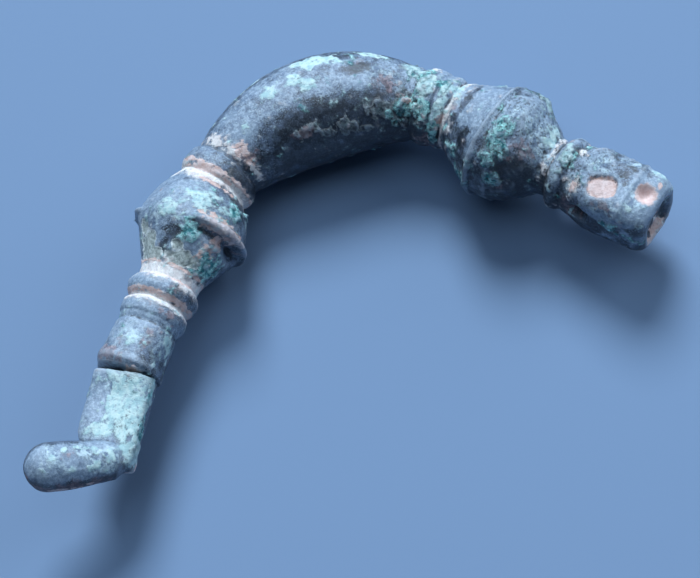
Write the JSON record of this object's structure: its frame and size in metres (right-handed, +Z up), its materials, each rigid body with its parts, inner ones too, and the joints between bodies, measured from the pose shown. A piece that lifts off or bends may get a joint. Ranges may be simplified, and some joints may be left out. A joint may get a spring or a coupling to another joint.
{
  "type": "bow brooch",
  "caption": "Cast bronze bow brooch without its pin: a swollen arched bow between ridged beads, with a socketed head and a flat catch plate with a bent catch.",
  "frame": {"origin": "centre of the bounding box's bottom face, on the ground that the brooch lies on", "axes": "+X from the foot to the head, +Y towards the crown of the bow, +Z up from the ground"},
  "size_m": [0.0596, 0.0342, 0.0112],
  "materials": {
    "patinated_bronze": "matte patina, corroded"
  },
  "bodies": {
    "root": {"bow_brooch": "patinated_bronze"}
  },
  "joints": []
}
